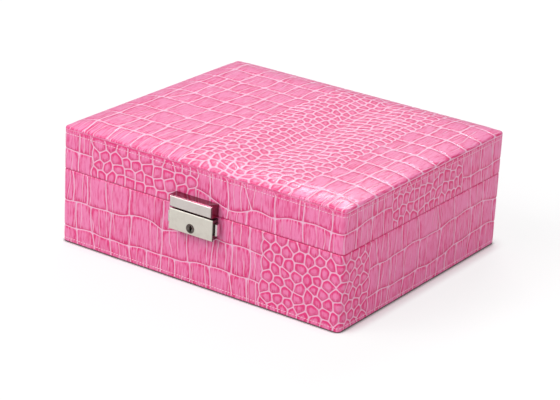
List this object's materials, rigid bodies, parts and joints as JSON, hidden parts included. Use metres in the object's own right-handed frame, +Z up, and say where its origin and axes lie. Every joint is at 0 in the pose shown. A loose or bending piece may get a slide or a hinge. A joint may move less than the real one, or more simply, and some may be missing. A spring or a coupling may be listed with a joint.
{
  "type": "leather jewellery case",
  "caption": "Rectangular hinged jewellery case in pink reptile-embossed leather with a padded lid, press-button key lock, mirror and lift-out ring tray.",
  "frame": {"origin": "middle of the felt face that it stands on", "axes": "+Z up, -Y towards the lock at the front, +X to the right seen from the front"},
  "size_m": [0.23, 0.2129, 0.0875],
  "materials": {
    "pink_leather": "glossy reptile-embossed leather",
    "rose_velvet": "short pile velvet",
    "black_felt": "pressed felt",
    "fibre_board": "plain fibre board",
    "foam": "open cell foam",
    "satin_nickel": "satin nickel plate",
    "bright_nickel": "polished nickel plate",
    "spring_steel": "drawn wire",
    "mirror": "silvered glass",
    "ribbon": "satin ribbon"
  },
  "bodies": {
    "base": {"base_felt": "black_felt", "base_floor_board": "fibre_board", "base_front_wall": "fibre_board", "base_rear_wall": "fibre_board", "base_left_wall": "fibre_board", "base_right_wall": "fibre_board", "base_leather": "pink_leather", "base_wall_lining": "rose_velvet", "base_floor_lining": "rose_velvet", "tray_ledge_front": "rose_velvet", "tray_ledge_rear": "rose_velvet", "base_divider_long": "rose_velvet", "base_divider_cross": "rose_velvet", "lock_case": "satin_nickel", "lock_back_plate": "satin_nickel", "lock_screws": "bright_nickel", "left_spring": "spring_steel", "right_spring": "spring_steel", "hinge_left_base_leaf": "satin_nickel", "hinge_right_base_leaf": "satin_nickel", "hinge_left_pin": "bright_nickel", "hinge_right_pin": "bright_nickel", "hinge_base_screws": "bright_nickel"},
    "lid": {"lid_top_board": "fibre_board", "lid_front_wall": "fibre_board", "lid_rear_wall": "fibre_board", "lid_left_wall": "fibre_board", "lid_right_wall": "fibre_board", "lid_foam_pad": "foam", "lid_top_leather": "pink_leather", "lid_band_leather": "pink_leather", "lid_wall_lining": "rose_velvet", "mirror_card": "rose_velvet", "mirror_glass": "mirror", "hasp_plate": "satin_nickel", "hasp_screws": "bright_nickel", "hinge_left_lid_leaf": "satin_nickel", "hinge_right_lid_leaf": "satin_nickel", "hinge_lid_screws": "bright_nickel"},
    "left_button": {"left_button": "bright_nickel"},
    "right_button": {"right_button": "bright_nickel"},
    "key_barrel": {"key_barrel": "bright_nickel", "lock_cam": "bright_nickel"},
    "tray": {"tray_floor": "rose_velvet", "tray_front_wall": "rose_velvet", "tray_rear_wall": "rose_velvet", "tray_left_wall": "rose_velvet", "tray_right_wall": "rose_velvet", "tray_left_partition": "rose_velvet", "tray_right_partition": "rose_velvet", "tray_divider": "rose_velvet", "ring_roll_1": "rose_velvet", "ring_roll_2": "rose_velvet", "ring_roll_3": "rose_velvet", "ring_roll_4": "rose_velvet", "ring_roll_5": "rose_velvet", "ring_roll_6": "rose_velvet", "tray_pull_left": "ribbon", "tray_pull_right": "ribbon"}
  },
  "joints": [
    {"name": "lid_hinge", "type": "hinge", "parent": "base", "child": "lid", "pos_m": [0, 0.1021, 0.0536], "axis": [-1, 0, 0], "range_deg": [0, 100]},
    {"name": "left_press", "type": "slide", "parent": "base", "child": "left_button", "axis": [1, 0, 0], "range_m": [0, 0.0015], "stiffness_N_per_m": 420, "springref_m": -0.002, "deforming": ["left_spring"]},
    {"name": "right_press", "type": "slide", "parent": "base", "child": "right_button", "axis": [-1, 0, 0], "range_m": [0, 0.0015], "stiffness_N_per_m": 420, "springref_m": -0.002, "deforming": ["right_spring"]},
    {"name": "key_turn", "type": "hinge", "parent": "base", "child": "key_barrel", "pos_m": [0, -0.104, 0.0426], "axis": [0, 1, 0], "range_deg": [0, 90]},
    {"name": "tray_lift", "type": "slide", "parent": "base", "child": "tray", "axis": [0, 0, 1], "range_m": [0, 0.015]}
  ]
}
